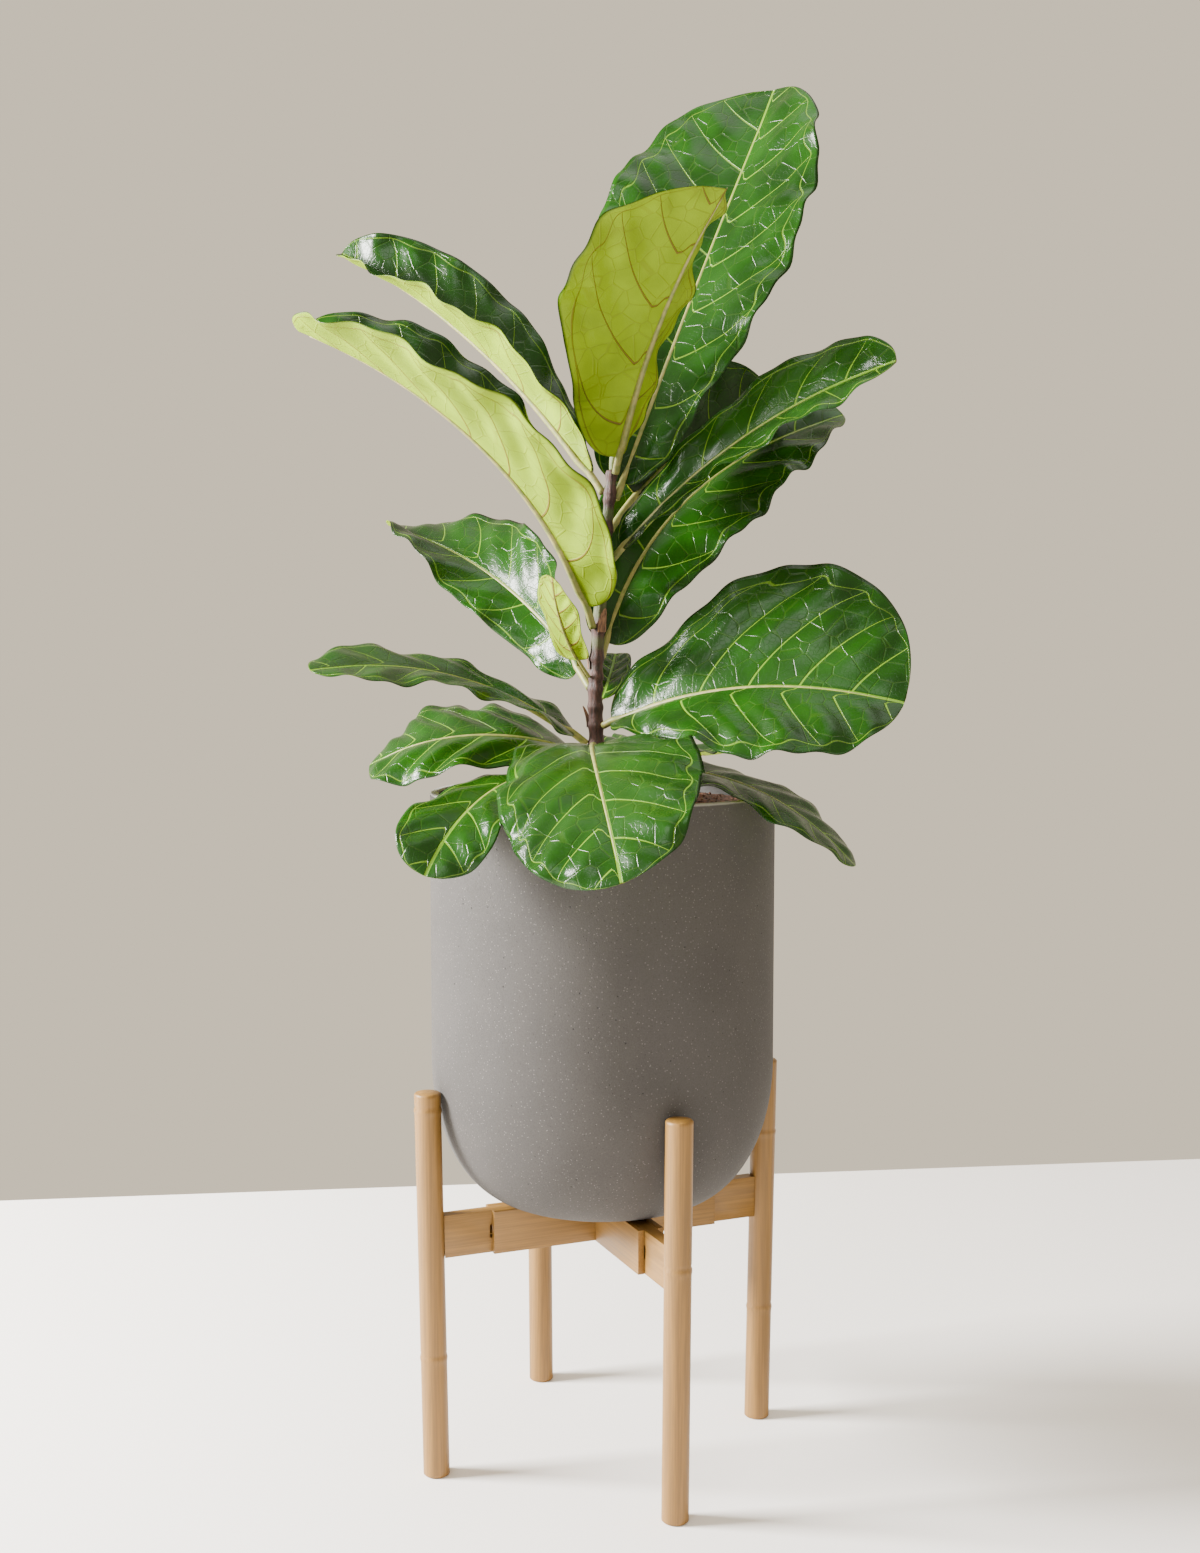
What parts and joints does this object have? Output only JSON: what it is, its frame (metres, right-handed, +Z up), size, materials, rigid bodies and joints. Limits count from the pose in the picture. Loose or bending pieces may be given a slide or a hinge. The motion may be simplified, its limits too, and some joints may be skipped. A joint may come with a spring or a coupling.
{
  "type": "potted fiddle leaf fig",
  "caption": "Young fiddle leaf fig with large glossy leaves in a round-bottomed stoneware pot, held in an adjustable bamboo stand.",
  "frame": {"origin": "on the floor, on the axis of the pot and the stand", "axes": "+Z up; the stand's first bar lies 22.5 degrees from +X; the front of the plant faces -Y"},
  "size_m": [0.4796, 0.507, 1.1597],
  "materials": {
    "bamboo": "satin, fine lengthwise fibre",
    "stoneware": "matte, fine pores and pale grit",
    "potting_mix": "matte, coarse crumbs",
    "bark": "matte, ringed at the nodes",
    "bud": "satin",
    "stipule": "matte, papery",
    "leaf": "glossy above, matte and paler below, raised veins"
  },
  "bodies": {
    "stand_and_plant": {"bar_lower": "bamboo", "bar_upper": "bamboo", "stop_pin_right": "bamboo", "stop_pin_back": "bamboo", "stop_pin_left": "bamboo", "stop_pin_front": "bamboo", "pot": "stoneware", "soil": "potting_mix", "trunk": "bark", "terminal_bud": "bud", "stipule_1": "stipule", "stipule_2": "stipule", "stipule_3": "stipule", "stipule_4": "stipule", "leaf_01": "leaf", "leaf_02": "leaf", "leaf_03": "leaf", "leaf_04": "leaf", "leaf_05": "leaf", "leaf_06": "leaf", "leaf_07": "leaf", "leaf_08": "leaf", "leaf_09": "leaf", "leaf_10": "leaf", "leaf_11": "leaf", "leaf_12": "leaf", "leaf_13": "leaf", "leaf_14": "leaf", "leaf_15": "leaf", "leaf_16": "leaf", "leaf_17": "leaf"},
    "side_right": {"arm_right": "bamboo", "leg_right": "bamboo"},
    "side_back": {"arm_back": "bamboo", "leg_back": "bamboo"},
    "side_left": {"arm_left": "bamboo", "leg_left": "bamboo"},
    "side_front": {"arm_front": "bamboo", "leg_front": "bamboo"}
  },
  "joints": [
    {"name": "slide_right", "type": "slide", "parent": "stand_and_plant", "child": "side_right", "axis": [0.9239, 0.3827, 0], "range_m": [0, 0.012]},
    {"name": "slide_back", "type": "slide", "parent": "stand_and_plant", "child": "side_back", "axis": [-0.3827, 0.9239, 0], "range_m": [0, 0.012]},
    {"name": "slide_left", "type": "slide", "parent": "stand_and_plant", "child": "side_left", "axis": [-0.9239, -0.3827, 0], "range_m": [0, 0.012]},
    {"name": "slide_front", "type": "slide", "parent": "stand_and_plant", "child": "side_front", "axis": [0.3827, -0.9239, 0], "range_m": [0, 0.012]}
  ]
}
